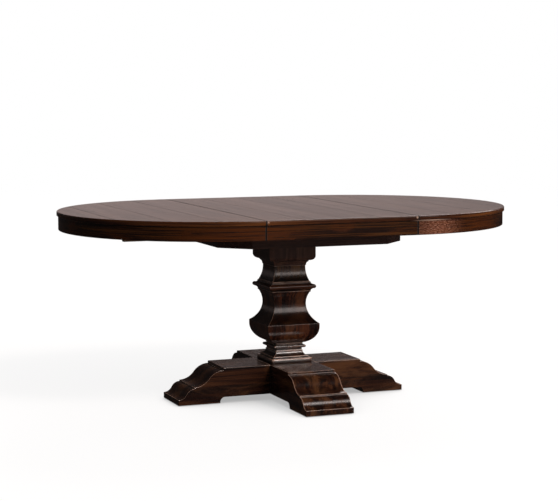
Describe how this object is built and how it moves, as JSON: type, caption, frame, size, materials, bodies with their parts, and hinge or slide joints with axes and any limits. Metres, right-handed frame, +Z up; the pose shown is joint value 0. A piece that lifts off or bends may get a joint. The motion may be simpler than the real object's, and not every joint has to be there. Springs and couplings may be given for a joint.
{
  "type": "round extending pedestal table",
  "caption": "Extending pedestal table with half-round ends, a drop-in leaf on geared wooden slides, and a square urn pedestal on a cross base.",
  "frame": {"origin": "on the floor, under the axis of the pedestal", "axes": "+Z up, +X along the slides towards the right half, +Y towards the back of the table"},
  "size_m": [1.8286, 1.2192, 0.762],
  "materials": {
    "top_wood": "satin lacquer",
    "pedestal_wood": "satin lacquer",
    "slide_wood": "matte",
    "steel": "zinc plated",
    "nylon": "matte"
  },
  "bodies": {
    "pedestal": {"base_beam_cross": "pedestal_wood", "base_beam_long": "pedestal_wood", "column_dowels": "slide_wood", "fixed_rail_back": "slide_wood", "fixed_rail_front": "slide_wood", "fixed_rail_screws": "steel", "foot_glides": "nylon", "mounting_plate": "pedestal_wood", "pedestal_cap_block": "pedestal_wood", "pedestal_lower_neck": "pedestal_wood", "pedestal_plinth": "pedestal_wood", "pedestal_ring": "pedestal_wood", "pedestal_upper_neck": "pedestal_wood", "pedestal_urn": "pedestal_wood", "pinion_bolt": "steel", "pinion_washer": "steel", "plate_lag_screws": "steel", "slide_stop_pins": "steel", "tie_rod": "steel", "tie_rod_nuts": "steel", "tie_rod_washers": "steel"},
    "left_half": {"left_apron_1": "top_wood", "left_apron_2": "top_wood", "left_apron_3": "top_wood", "left_apron_4": "top_wood", "left_glue_blocks": "slide_wood", "left_half_screws": "steel", "left_rack": "slide_wood", "left_rack_batten": "slide_wood", "left_slide_rail_back": "slide_wood", "left_slide_rail_front": "slide_wood", "left_top_plank_1": "top_wood", "left_top_plank_2": "top_wood", "left_top_plank_3": "top_wood", "left_top_plank_4": "top_wood"},
    "right_half": {"right_apron_1": "top_wood", "right_apron_2": "top_wood", "right_apron_3": "top_wood", "right_apron_4": "top_wood", "right_glue_blocks": "slide_wood", "right_half_screws": "steel", "right_rack": "slide_wood", "right_rack_batten": "slide_wood", "right_slide_rail_back": "slide_wood", "right_slide_rail_front": "slide_wood", "right_top_plank_1": "top_wood", "right_top_plank_2": "top_wood", "right_top_plank_3": "top_wood", "right_top_plank_4": "top_wood"},
    "leaf": {"leaf_apron_back": "top_wood", "leaf_apron_front": "top_wood", "leaf_batten_back": "slide_wood", "leaf_batten_front": "slide_wood", "leaf_batten_screws": "steel", "leaf_glue_blocks": "slide_wood", "leaf_plank_1": "top_wood", "leaf_plank_2": "top_wood", "leaf_plank_3": "top_wood", "leaf_plank_4": "top_wood"},
    "equalizer": {"equalizer_pinion": "nylon"}
  },
  "joints": [
    {"name": "left_half_slide", "type": "slide", "parent": "pedestal", "child": "left_half", "axis": [-1, 0, 0], "range_m": [0, 0.045]},
    {"name": "right_half_slide", "type": "slide", "parent": "pedestal", "child": "right_half", "axis": [1, 0, 0], "range_m": [0, 0.045]},
    {"name": "leaf_lift", "type": "slide", "parent": "pedestal", "child": "leaf", "axis": [0, 0, 1], "range_m": [0, 0.25]},
    {"name": "pinion_spin", "type": "hinge", "parent": "pedestal", "child": "equalizer", "pos_m": [0, 0, 0.677], "axis": [0, 0, 1], "range_deg": [-96, 0]}
  ],
  "couplings": [
    {"joint": "right_half_slide", "follows": "left_half_slide", "ratio": 1},
    {"joint": "pinion_spin", "follows": "left_half_slide", "rad_per_m": -37.037}
  ]
}
